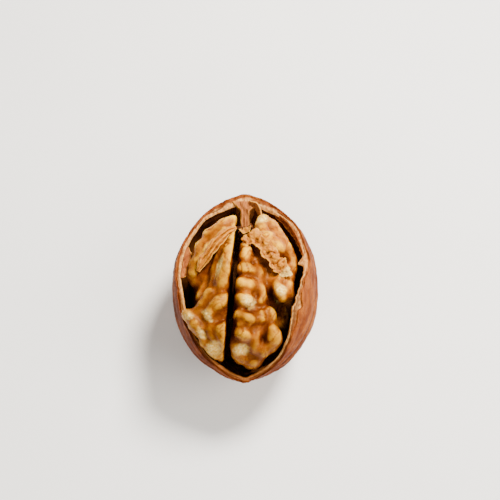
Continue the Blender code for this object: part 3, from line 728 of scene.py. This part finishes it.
def build_shell(settings):
    """A sphere drawn over the nut's outside, across its broken rim and down its inside."""
    bm = bmesh.new()
    bmesh.ops.create_uvsphere(bm, u_segments=SHELL_SEGMENTS, v_segments=SHELL_RINGS, radius=1)
    tag_azimuth, tag_width, tag_reach = TAG
    furrow, broken, lining, weathered, crack = [], [], [], [], []
    for vert in bm.verts:
        azimuth = math.atan2(vert.co.y, vert.co.x)
        degrees = math.degrees(azimuth)
        ring = Vector((math.cos(azimuth), math.sin(azimuth), 0))
        # How far along the profile the point is: 0 at the underside, 1 at the inside's deepest place.
        share = math.acos(max(-1.0, min(1.0, -vert.co.z))) / math.pi
        across = (share - OUTER_SHARE) / RIM_SHARE
        if across <= 0:
            inset, part = 0.0, share / OUTER_SHARE
        elif across < 1:
            inset, part = across, 1.0
        else:
            inset, part = 1.0, 1 - (share - OUTER_SHARE - RIM_SHARE) / (1 - OUTER_SHARE - RIM_SHARE)
        # The rim, lower on its outer side where the outer layer has split off.
        jag = sum(height * noise.noise(ring * often) for height, often in JAGS)
        top = rim_height(degrees) + settings.rim_wear * jag
        split = sum(
            drop * blend(1.6 * (1 - abs((degrees - middle + 180) % 360 - 180) / reach))
            for middle, reach, drop in SPLITS
        )
        lower = split * (1 - blend((across - 0.35) / 0.2))
        reach = math.asin((top - lower) / HALF_DEPTH)
        direction = towards(azimuth, part * (math.pi / 2 + reach) - math.pi / 2)
        wall = WALL + (STEM_WALL - WALL) * blend((direction.y - 0.72) / 0.2)
        outer, down = relief(direction, settings.furrow_depth)
        plain, _ = relief(direction)
        height = outer if inset == 0 else plain + (outer - plain) * (1 - inset)
        tag = math.exp(-(((degrees - tag_azimuth) / tag_width) ** 2)) * blend((across - 0.5) / 0.5)
        if across >= 1:
            tag *= math.exp(-(1 - part) * 40)
        point = nut_point(direction, wall * inset + tag_reach * tag, height)
        # Rounded, grained and cracked between its layers across the rim; lumpy inside.
        split_open = 0.0
        if 0 < across < 1:
            grain = noise.noise(Vector((ring.x * 40, ring.y * 40, across * 3)))
            point.z += 0.2 * grain * settings.rim_wear
            point.z -= 0.75 * (1 - blend(across / 0.45)) + 0.3 * blend((across - 0.7) / 0.3)
            layer = across - LAYER - 0.22 * noise.noise(ring * 4)
            split_open = math.exp(-((layer / 0.09) ** 2)) * blend(
                0.45 + 2.2 * noise.noise(ring * 3.1) + 0.7 * math.exp(-(((degrees + 38) / 22) ** 2))
            )
            point.z -= LAYER_CRACK_DEPTH * split_open
        if across >= 1:
            point += direction * 0.12 * noise.noise(direction * 9)
            point.z -= 0.3 * (1 - blend((1 - part) * 12))
        point.z = max(point.z, -REST_DEPTH)
        vert.co = point
        furrow.append(down if across <= 0 else 0.0)
        edge_below = (1 - part) * (math.pi / 2 + reach) * HALF_DEPTH
        worn = 0.16 * noise.noise(ring * 7 + Vector((0, 0, 4))) + 0.1 * noise.noise(ring * 30)
        broken.append(blend((across - 0.34 - worn) / 0.2) if across < 1 else blend(1 - edge_below / 0.35))
        # the inside darkens below the rim as painted shade
        lining.append(blend((edge_below - 0.1) / 0.6) if across >= 1 else 0.0)
        # painted shade on the lower side, away from the light
        weathered.append(0.95 * blend((math.cos(azimuth - math.radians(SHADED_SIDE)) - 0.45) / 0.4))
        # painted shade where the rim's layers split open
        crack.append(split_open)
    mesh = mesh_of(bm)
    masks = {"furrow": furrow, "broken": broken, "lining": lining, "weathered": weathered, "crack": crack}
    for name, values in masks.items():
        add_attribute(mesh, name, values)
    return mesh


def build_partition():
    """The plate at the stem end, fluted along its length, and a thin leaf of it that stands off."""
    bm = bmesh.new()
    bmesh.ops.create_cube(bm, size=2)
    bmesh.ops.subdivide_edges(bm, edges=bm.edges[:], cuts=39, use_grid_fill=True)
    wall = HALF_LENGTH - PARTITION_INSET
    low_top, high_top = PARTITION_TOP
    edge = []
    for vert in bm.verts:
        side, along, up = vert.co.x, (vert.co.y + 1) / 2, (vert.co.z + 1) / 2
        edge.append(blend((abs(side) - 0.72) / 0.2) * blend((up - 0.85) / 0.1) * (0.4 + 0.6 * (side < 0)))
        flare = PARTITION_THICKNESS + (PARTITION_FLARE - PARTITION_THICKNESS) * blend(along * 2.4 - 1.4)
        top = low_top + (high_top - low_top) * along
        height = PARTITION_BOTTOM + (top - PARTITION_BOTTOM) * up
        reach = wall * math.sqrt(1 - (height / (0.93 * HALF_DEPTH)) ** 2)
        flute = math.cos(side * 9 + 1.2 * along)
        ragged = 0.5 * noise.noise(Vector((side * 2, 0, up * 4))) * (1 - along)
        point = Vector((
            side * flare / 2,
            PARTITION_FROM + ragged + (reach - PARTITION_FROM) * along,
            height + 0.16 * flute * up - 0.35 * side * side * (up > 0.8),
        ))
        point.x += 0.22 * noise.noise(Vector((point.x * 1.6, point.y * 0.5, point.z * 0.9)))
        point.z += 0.2 * noise.noise(Vector((point.x * 1.8, point.y * 0.6, 3.0))) * blend(up * 2 - 1)
        vert.co = point
    plate = mesh_of(bm)
    add_attribute(plate, "edge", edge)
    leaf = build_ribbon(
        LEAF_PATH, width=2.2, thickness=0.35, crumple=0.15, pleats=0.6, pleat_depth=0.1,
        tilt=math.radians(68), seed=9, rows=16,
    )
    bm = bmesh.new()
    bm.from_mesh(plate)
    bm.from_mesh(leaf)
    return mesh_of(bm)


def gap_side(points):
    """How far to the right of the gap's middle line each point is."""
    (x1, y1), (x2, y2) = GAP_ENDS
    length = math.dist((x1, y1), (x2, y2))
    return ((points[:, 0] - x1) * (y1 - y2) - (points[:, 1] - y1) * (x1 - x2)) / length


def shut_in(mesh, wall, reach, rays=12):
    """How shut in each point is, 0 to 1: the share of rays that meet the mesh or the wall within reach."""
    bm = bmesh.new()
    bm.from_mesh(mesh)
    bm.from_mesh(wall)
    tree = BVHTree.FromBMesh(bm)
    bm.free()
    points, normals = points_of(mesh), points_of(mesh, "normal")
    side = np.cross(normals, np.where(np.abs(normals[:, 2:]) < 0.9, (0, 0, 1), (1, 0, 0)))
    side /= np.linalg.norm(side, axis=1)[:, None]
    other = np.cross(normals, side)
    starts = [Vector(p) for p in points + 0.06 * normals]
    hits = np.zeros(len(points))
    for k in range(rays):
        flat = math.sqrt((k + 0.5) / rays)
        turn = k * GOLDEN_ANGLE
        ways = normals * math.sqrt(1 - flat * flat)
        ways = ways + flat * (math.cos(turn) * side + math.sin(turn) * other)
        found = (tree.ray_cast(start, way, reach)[3] for start, way in zip(starts, map(Vector, ways)))
        hits += np.array([0.0 if far is None else 1 - 0.6 * far / reach for far in found])
    shares = np.repeat(hits[:, None] / rays, 3, axis=1)
    return smoothed(mesh, shares, 3, 0.7)[:, 0]


def build_half(name, folds, sign, gap_width):
    """One half of the kernel, melted from its bodies and folds, and cut flat along the gap."""
    bm = bmesh.new()
    beads = [((x, y, z), radii) for half, x, y, z, *radii in KERNEL_BODIES if half == name]
    lumpiness, lump_size = BEAD_LUMPS
    shoved, shove_size = BEAD_SHOVE
    for fold in folds:
        for x, y, z, radius in smooth_line(fold, lambda bead: bead[3] * BEAD_SPACING):
            place = Vector((x, y, z))
            radius *= 1 + lumpiness * noise.noise(place / lump_size)
            place += shoved * shove(place / shove_size)
            root = FOLD_ROOT * radius
            place.z -= root
            beads.append((place, (radius, radius, radius + root)))
    for place, radii in beads:
        matrix = Matrix.Translation(place) @ Matrix.Diagonal((*radii, 1))
        bmesh.ops.create_icosphere(bm, subdivisions=3, radius=1, matrix=matrix)
    mesh = worked(mesh_of(bm), "REMESH", mode="VOXEL", voxel_size=HALF_VOXEL)
    points = smoothed(mesh, points_of(mesh), 2, 0.5)
    # Push what reaches into the gap back out of it, with a rounded edge.
    limit = gap_width / 2 + 0.28 * each_noise(points, 3.0, 4.0 + sign)
    beyond = limit - sign * gap_side(points)
    push = np.where(beyond > -0.4, beyond + 0.4 * np.exp(-np.maximum(beyond + 0.4, 0) / 0.4), 0)
    (x1, y1), (x2, y2) = GAP_ENDS
    across = np.array(((y1 - y2), -(x1 - x2), 0)) / math.dist((x1, y1), (x2, y2))
    set_points(mesh, points + sign * push[:, None] * across)
    return mesh


def scraped(points, normals):
    """How bare of skin each point is, 0 to 1."""
    bare = np.zeros(len(points))
    ragged = 0.28 * each_noise(points, 1.1, 2.0) + 0.12 * each_noise(points, 0.5, 3.0)
    facing_up = soft((normals[:, 2] + 0.25) / 0.4)
    for x, y, half_length, half_width, turn, strength in SCRAPES:
        angle = math.radians(turn)
        dx, dy = points[:, 0] - x, points[:, 1] - y
        u = (dx * math.cos(angle) + dy * math.sin(angle)) / half_length
        v = (-dx * math.sin(angle) + dy * math.cos(angle)) / half_width
        spot = soft((1.25 - np.hypot(u, v) + ragged) / 0.85) * strength
        bare = np.maximum(bare, spot * facing_up * soft((points[:, 2] - 2.5) / 2.5))
    return bare


def build_kernel(settings):
    """The two halves joined deep in the gap, wrinkled, scraped and marked for their skin."""
    bm = bmesh.new()
    for name, folds, sign in (("left", LEFT_FOLDS, -1), ("right", RIGHT_FOLDS, 1)):
        bm.from_mesh(build_half(name, folds, sign, settings.gap_width / MM))
    x, y, z, radius = ISTHMUS
    bmesh.ops.create_icosphere(bm, subdivisions=4, radius=radius, matrix=Matrix.Translation((x, y, z)))
    mesh = worked(mesh_of(bm), "REMESH", mode="VOXEL", voxel_size=KERNEL_VOXEL)
    points = smoothed(mesh, points_of(mesh), 3, 0.5)
    set_points(mesh, points)
    normals = points_of(mesh, "normal")
    # Lumps and sunken veins all over, and broad furrows on the hidden underside.
    lump = 0.17 * each_noise(points, 2.3) + 0.05 * each_noise(points, 1.0, 5.0)
    vein = 0.14 * np.exp(-((each_noise(points, 2.6, 11.0) / 0.06) ** 2))
    vein *= soft(0.6 + 1.5 * each_noise(points, 4.0, 31.0))
    underside = soft((4 - points[:, 2]) / 5)
    lift = settings.wrinkle_depth / USUAL_WRINKLE * (lump - vein)
    lift -= 1.2 * underside * np.exp(-((each_noise(points, 7.0, 21.0) / 0.12) ** 2))
    scrape = scraped(points, normals)
    lift -= 0.18 * scrape * (1 + 1.2 * each_noise(points, 0.7, 8.0))
    points = clear_of_shell(points + normals * lift[:, None])
    set_points(mesh, points)
    normals = points_of(mesh, "normal")
    fine = np.sum((smoothed(mesh, points, 8) - points) * normals, axis=1)
    wide = np.sum((smoothed(mesh, points, 40) - points) * normals, axis=1)
    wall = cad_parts["shell"].data.copy()
    wall.transform(Matrix.Scale(1 / MM, 4) @ Matrix.Translation(-MIDDLE))
    clouds = each_noise(points, 4.5, 17.0)
    for name, values in (
        # deep: painted shade where rays meet the kernel or the shell's wall within reach
        ("deep", shut_in(mesh, wall, SHUT_IN_REACH)),
        # crease: browner partly as pigment and partly as painted shade
        ("crease", fine / FINE_CREASE + wide / WIDE_CREASE - 0.8 * scrape),
        # ridge: where the painted yellow highlight goes
        ("ridge", -fine / FINE_RIDGE - wide / WIDE_RIDGE - 0.15),
        # low: painted shade, darker towards the bottom inside the shell
        ("low", soft((2.8 - points[:, 2]) / 3)),
        # darker towards the left and the tip as painted shade, over random clouds of tone
        ("browned", soft(0.35 - 0.03 * points[:, 0] - 0.035 * points[:, 1] + clouds)),
        ("scrape", scrape),
    ):
        add_attribute(mesh, name, values)
    return mesh


def clear_of_shell(points):
    """Points that come too near the shell's wall, or into it, moved in from it."""
    room = WALL + 0.3
    along = np.clip(points[:, 1] / (HALF_LENGTH - room), -1, 1)
    narrow = np.array([taper(a) for a in along])
    size = np.stack([
        (HALF_WIDTH - room) * narrow, np.full(len(points), HALF_LENGTH - room), (HALF_DEPTH - room) * narrow,
    ], axis=1)
    ratio = np.sqrt(np.sum((points / size) ** 2, axis=1))
    azimuths = np.degrees(np.arctan2(points[:, 1] / HALF_LENGTH, points[:, 0] / HALF_WIDTH))
    rims = np.array([rim_height(a) for a in azimuths])
    below = soft((rims + 0.9 - points[:, 2]) / 0.5)
    shrink = 1 - below * (1 - 1 / np.maximum(ratio, 1))
    return points * shrink[:, None]


def build_ribbon(path, width, thickness, crumple, pleats, pleat_depth, ruffle=0.0, tilt=0.0, seed=0, rows=20):
    """A crumpled strip along a line of (x, y, height) points.

    Pleats run along it, ruffles run across it, and tilt rolls it about the line.
    """
    line = [Vector(p) for p in smooth_line(path, lambda point: RIBBON_STEP)]
    last = len(line) - 1
    bm = bmesh.new()
    bmesh.ops.create_grid(bm, x_segments=last, y_segments=rows, size=1)
    edge, along = [], []
    for vert in bm.verts:
        share, across = (vert.co.x + 1) / 2, vert.co.y
        index = round(share * last)
        ahead = (line[min(index + 1, last)] - line[max(index - 1, 0)]).normalized()
        side = Vector((-ahead.y, ahead.x, 0)).normalized()
        up = ahead.cross(side)
        roll = tilt + 0.6 * noise.noise(Vector((share * 4, seed, 2)))
        side, up = side * math.cos(roll) + up * math.sin(roll), up * math.cos(roll) - side * math.sin(roll)
        ends = 1 - abs(2 * share - 1) ** 4
        half = width / 2 * (0.35 + 0.65 * ends)
        half *= 1 + 0.5 * noise.noise(Vector((share * 7, 3 * (across > 0), seed)))
        drift = 1.6 * noise.noise(Vector((share * 3, seed, 7)))
        drift += 1.6 * ruffle * noise.noise(Vector((share * 12, 1, seed)))
        pleat = math.sin(pleats * math.pi * across / 2 + drift) - 0.5 * across * across
        bunch = share * last * RIBBON_STEP / RUFFLE_LENGTH + 0.3 * across
        bunch += 0.9 * noise.noise(Vector((share * 9, across, seed)))
        uneven = 0.35 + 0.65 * noise.noise(Vector((share * 6, 5, seed)))
        place = line[index] + side * across * half
        place += up * pleat_depth * ends * pleat
        place += up * ruffle * uneven * math.sin(2 * math.pi * bunch)
        place += crumple * shove(place * 0.8 + Vector((seed, 0, 0)))
        place += 0.35 * crumple * shove(place * 1.7 + Vector((0, seed, 0)))
        vert.co = place
        edge.append(blend((abs(across) - 0.84) / 0.14))
        along.append(share)
    mesh = mesh_of(bm)
    points = points_of(mesh)
    fold = np.sum((smoothed(mesh, points, 12) - points) * points_of(mesh, "normal"), axis=1)
    add_attribute(mesh, "edge", edge)
    add_attribute(mesh, "along", along)
    add_attribute(mesh, "fold", 0.35 + fold / 0.28)
    return worked(mesh, "SOLIDIFY", thickness=thickness, offset=0)


def build_crinkled(thickness):
    """The crinkled membrane from the partition's end down the right half, cream at its lower end."""
    mesh = build_ribbon(
        CRINKLED_PATH, width=4.2, thickness=thickness, crumple=0.6, pleats=2.0, pleat_depth=0.42,
        ruffle=0.42, seed=3, rows=32,
    )
    along = np.empty(len(mesh.vertices), np.float32)
    mesh.attributes["along"].data.foreach_get("value", along)
    ragged = each_noise(points_of(mesh), 0.8, 6.0)
    add_attribute(mesh, "scrape", soft((along - 0.86 + 0.08 * ragged) / 0.06))
    return mesh


def build_double_fold(thickness):
    """The left half's papery double fold: one pleated sheet, its ribs side by side."""
    mesh = build_ribbon(
        DOUBLE_FOLD_PATH, width=2.5, thickness=thickness, crumple=0.16, pleats=4.6, pleat_depth=0.46,
        tilt=math.radians(-20), seed=1, rows=44,
    )
    add_attribute(mesh, "scrape", np.zeros(len(mesh.vertices)))
    return mesh


def build_flap(azimuths, below_rim, depth, lean, crumple, thickness, seed):
    """A torn, lens-shaped flap of lining.

    Its upper edge is fast to the wall just below the rim, and its lower edge leans in.
    """
    bm = bmesh.new()
    bmesh.ops.create_grid(bm, x_segments=90, y_segments=26, size=1)
    edge = []
    start, end = azimuths
    for vert in bm.verts:
        along, up = (vert.co.x + 1) / 2, (vert.co.y + 1) / 2
        lens = math.sqrt(max(0.03, 1 - (2 * along - 1) ** 2))
        lens *= 1 + 0.25 * noise.noise(Vector((along * 6, seed, 4)))
        degrees = start + (end - start) * along
        free = lens * (1 - up)
        height = rim_height(degrees) - below_rim - depth * free
        inset = WALL - 0.1 + lean * free
        elevation = math.asin(height / (HALF_DEPTH - inset))
        point = nut_point(towards(math.radians(degrees), elevation), inset)
        point += crumple * (1 - up) * shove(point * 0.8 + Vector((seed, 0, 0)))
        point += 0.5 * crumple * (1 - up) * shove(point * 2.2)
        vert.co = point
        edge.append(blend((0.22 - up) / 0.12))
    mesh = mesh_of(bm)
    add_attribute(mesh, "edge", edge)
    return worked(mesh, "SOLIDIFY", thickness=thickness, offset=0)


def build_crumbs():
    """Brittle crumbs of dried septum, heaped between the partition's end and the kernel."""
    bm = bmesh.new()
    for k in range(CRUMBS):
        turn = Euler((k * 1.9, k * 2.3, k * 0.7)).to_matrix().to_4x4()
        size = Vector((0.85 - 0.03 * k, 0.45 + 0.02 * (k % 5), 0.22 + 0.02 * (k % 3)))
        place = Vector((
            -1.6 + 3.6 * ((k * 0.618) % 1), 14.7 - 1.9 * ((k * 0.382) % 1), 5.2 + 3.0 * ((k * 0.27) % 1)
        ))
        matrix = Matrix.Translation(place) @ turn @ Matrix.Diagonal((*size, 1))
        made = bmesh.ops.create_icosphere(bm, subdivisions=3, radius=1, matrix=matrix)
        for vert in made["verts"]:
            vert.co += 0.3 * shove(vert.co * 1.7 + Vector((k, 0, 0)))
    return mesh_of(bm)


def build_flake():
    """A thin bent flake that broke off the partition."""
    bm = bmesh.new()
    bmesh.ops.create_grid(bm, x_segments=40, y_segments=26, size=1)
    turn = Euler([math.radians(angle) for angle in FLAKE_TURN]).to_matrix()
    edge = []
    for vert in bm.verts:
        x, y = vert.co.x, vert.co.y
        outline = 1 + 0.22 * noise.noise(Vector((math.atan2(y, x) * 1.3, 4, 0)))
        bent = 0.18 * x * x - 0.1 * y
        place = Vector((1.25 * x * (1 + 0.3 * y) * outline, 0.75 * y * outline, bent))
        place += 0.12 * shove(place * 1.6)
        edge.append(blend((max(abs(x), abs(y)) - 0.8) / 0.15))
        vert.co = Vector(FLAKE_PLACE) + turn @ place
    mesh = mesh_of(bm)
    for name, values in (("edge", edge), ("scrape", np.zeros(len(edge))), ("fold", np.full(len(edge), 0.4))):
        add_attribute(mesh, name, values)
    return worked(mesh, "SOLIDIFY", thickness=0.3, offset=0)


class WalnutShellSettings(bpy.types.PropertyGroup):
    furrow_depth: FloatProperty(
        name="Furrow depth", description="How deep the fine furrows are, as a share of the usual depth",
        default=1.0, min=0.0, max=2.0, subtype="FACTOR",
    )
    rim_wear: FloatProperty(
        name="Rim roughness", description="How ragged the broken rim is, as a share of the usual",
        default=1.0, min=0.0, max=3.0, subtype="FACTOR",
    )


class WalnutKernelSettings(bpy.types.PropertyGroup):
    gap_width: FloatProperty(
        name="Gap width", description="The width of the gap between the kernel's halves",
        default=1.3 * MM, min=0.5 * MM, max=3 * MM, unit="LENGTH", precision=4,
    )
    wrinkle_depth: FloatProperty(
        name="Wrinkle depth", description="The depth of the fine wrinkles on the folds",
        default=USUAL_WRINKLE, min=0.0, max=1 * MM, unit="LENGTH", precision=5,
    )
    # The colour in the creases stands partly for pigment and partly for painted shade.
    crease_pigment_and_shade: FloatVectorProperty(
        name="Crease colour", description="The skin's colour deep in its creases",
        default=linear("#6c3606")[:3], size=3, min=0.0, max=1.0, subtype="COLOR",
    )


class WalnutMembraneSettings(bpy.types.PropertyGroup):
    membrane_thickness: FloatProperty(
        name="Membrane thickness", description="The thickness of the papery membranes",
        default=0.22 * MM, min=0.05 * MM, max=0.5 * MM, unit="LENGTH", precision=5,
    )


class WalnutStageSettings(bpy.types.PropertyGroup):
    elevation: FloatProperty(
        name="Camera elevation", description="How high above the horizon the camera looks from",
        default=math.radians(72), min=0.0, max=math.radians(90), subtype="ANGLE",
    )
    distance: FloatProperty(
        name="Camera distance", description="From the nut's middle to the camera",
        default=0.361, min=0.1, max=2.0, unit="LENGTH",
    )
    light: FloatProperty(
        name="Key light", description="The power of the main light in watts",
        default=8.0, min=0.0, max=50, unit="POWER",
    )


class WALNUT_OT_shell(bpy.types.Operator):
    """Add the broken-open shell and the woody partition that grew with it"""

    bl_idname = "walnut.shell"
    bl_label = "Add shell"

    def execute(self, context):
        shell = build_shell(context.scene.walnut_shell)
        finish_piece("shell_wall", shell, make_shell_wood(), "shell_wood", "shell")
        finish_piece("shell_partition", build_partition(), make_partition_wood(), "shell_wood", "shell")
        return {"FINISHED"}


class WALNUT_OT_kernel(bpy.types.Operator):
    """Add the kernel, one seed of two lobed halves"""

    bl_idname = "walnut.kernel"
    bl_label = "Add kernel"

    def execute(self, context):
        settings = context.scene.walnut_kernel
        finish_piece("kernel_seed", build_kernel(settings), make_seed_skin(settings), "kernel_skin", "kernel")
        return {"FINISHED"}


class WALNUT_OT_membranes(bpy.types.Operator):
    """Add the papery membranes on the kernel's halves, and the flake between them"""

    bl_idname = "walnut.membranes"
    bl_label = "Add membranes"

    def execute(self, context):
        thickness = context.scene.walnut_membrane.membrane_thickness / MM
        paper = make_membrane_paper()
        for name, mesh, node in (
            ("membrane_crinkled", build_crinkled(thickness), "septum_membrane_right"),
            ("membrane_double_fold", build_double_fold(thickness), "septum_membrane_left"),
            ("partition_flake", build_flake(), "septum_flake"),
        ):
            finish_piece(name, mesh, paper, "membrane_paper", node)
        return {"FINISHED"}


class WALNUT_OT_crumbs(bpy.types.Operator):
    """Add the dark crumbs of dried septum"""

    bl_idname = "walnut.crumbs"
    bl_label = "Add crumbs"

    def execute(self, context):
        finish_piece("septum_crumbs", build_crumbs(), make_dried_crumb(), "shred_dark", "septum_shred")
        return {"FINISHED"}


class WALNUT_OT_linings(bpy.types.Operator):
    """Add the torn flaps of lining inside the rim"""

    bl_idname = "walnut.linings"
    bl_label = "Add torn linings"

    def execute(self, context):
        felt = make_torn_lining()
        for name, node, shape in (
            ("lining_left", "lining_flap_left", LEFT_FLAP), ("lining_right", "lining_flap_right", RIGHT_FLAP),
        ):
            finish_piece(name, build_flap(*shape), felt, "lining_wood", node)
        return {"FINISHED"}


class WALNUT_OT_stage(bpy.types.Operator):
    """Add the floor, the lights and the camera"""

    bl_idname = "walnut.stage"
    bl_label = "Add stage"

    def execute(self, context):
        settings = context.scene.walnut_stage
        bm = bmesh.new()
        bmesh.ops.create_grid(bm, x_segments=1, y_segments=1, size=FLOOR_HALF_SIZE)
        floor = bpy.data.objects.new("floor", mesh_of(bm, "floor"))
        floor.location.z = -0.05 * MM
        floor.data.materials.append(make_paper_sweep())
        context.scene.collection.objects.link(floor)
        for name, place, size, share in LAMPS:
            lamp = bpy.data.lights.new(name, "AREA")
            lamp.shape, lamp.size, lamp.energy = "DISK", size, settings.light * share
            lamp.color = linear("#fffaf2")[:3]
            self.aim(context, bpy.data.objects.new(name, lamp), MIDDLE + Vector(place))
        world = bpy.data.worlds.new("studio")
        world.use_nodes = True
        background = world.node_tree.nodes["Background"]
        background.inputs["Color"].default_value = linear("#fffcf8")
        background.inputs["Strength"].default_value = 0.31
        context.scene.world = world
        lens = bpy.data.cameras.new("camera")
        lens.lens, lens.sensor_width = 100, 36
        lens.clip_start, lens.clip_end = 0.01, 10
        lens.shift_x, lens.shift_y = 0.010, 0.076
        camera = bpy.data.objects.new("camera", lens)
        rise = settings.elevation
        away = Vector((0, -math.cos(rise), math.sin(rise)))
        self.aim(context, camera, MIDDLE + settings.distance * away)
        context.scene.camera = camera
        return {"FINISHED"}

    def aim(self, context, item, place):
        """Put a lamp or the camera here, turned to the nut's middle."""
        item.location = place
        item.rotation_euler = (MIDDLE - place).to_track_quat("-Z", "Y").to_euler()
        context.scene.collection.objects.link(item)


class WALNUT_PT_panel(bpy.types.Panel):
    """The walnut's pieces and settings"""

    bl_idname = "WALNUT_PT_panel"
    bl_label = "Opened walnut"
    bl_space_type = "VIEW_3D"
    bl_region_type = "UI"
    bl_category = "Walnut"

    def draw(self, context):
        for group in SETTINGS:
            box = self.layout.box()
            for key in SETTINGS[group].__annotations__:
                box.prop(getattr(context.scene, group), key)
        for operator in OPERATORS:
            self.layout.operator(operator.bl_idname)


SETTINGS = {
    "walnut_shell": WalnutShellSettings,
    "walnut_kernel": WalnutKernelSettings,
    "walnut_membrane": WalnutMembraneSettings,
    "walnut_stage": WalnutStageSettings,
}
OPERATORS = (
    WALNUT_OT_shell, WALNUT_OT_kernel, WALNUT_OT_membranes, WALNUT_OT_crumbs, WALNUT_OT_linings,
    WALNUT_OT_stage,
)


def register():
    for made in (*SETTINGS.values(), *OPERATORS, WALNUT_PT_panel):
        bpy.utils.register_class(made)
    for name, made in SETTINGS.items():
        setattr(bpy.types.Scene, name, PointerProperty(type=made))


def unregister():
    for name in SETTINGS:
        delattr(bpy.types.Scene, name)
    for made in reversed((*SETTINGS.values(), *OPERATORS, WALNUT_PT_panel)):
        bpy.utils.unregister_class(made)


def main():
    register()
    for step in ("shell", "kernel", "membranes", "crumbs", "linings", "stage"):
        getattr(bpy.ops.walnut, step)()


if __name__ == "__main__":
    main()
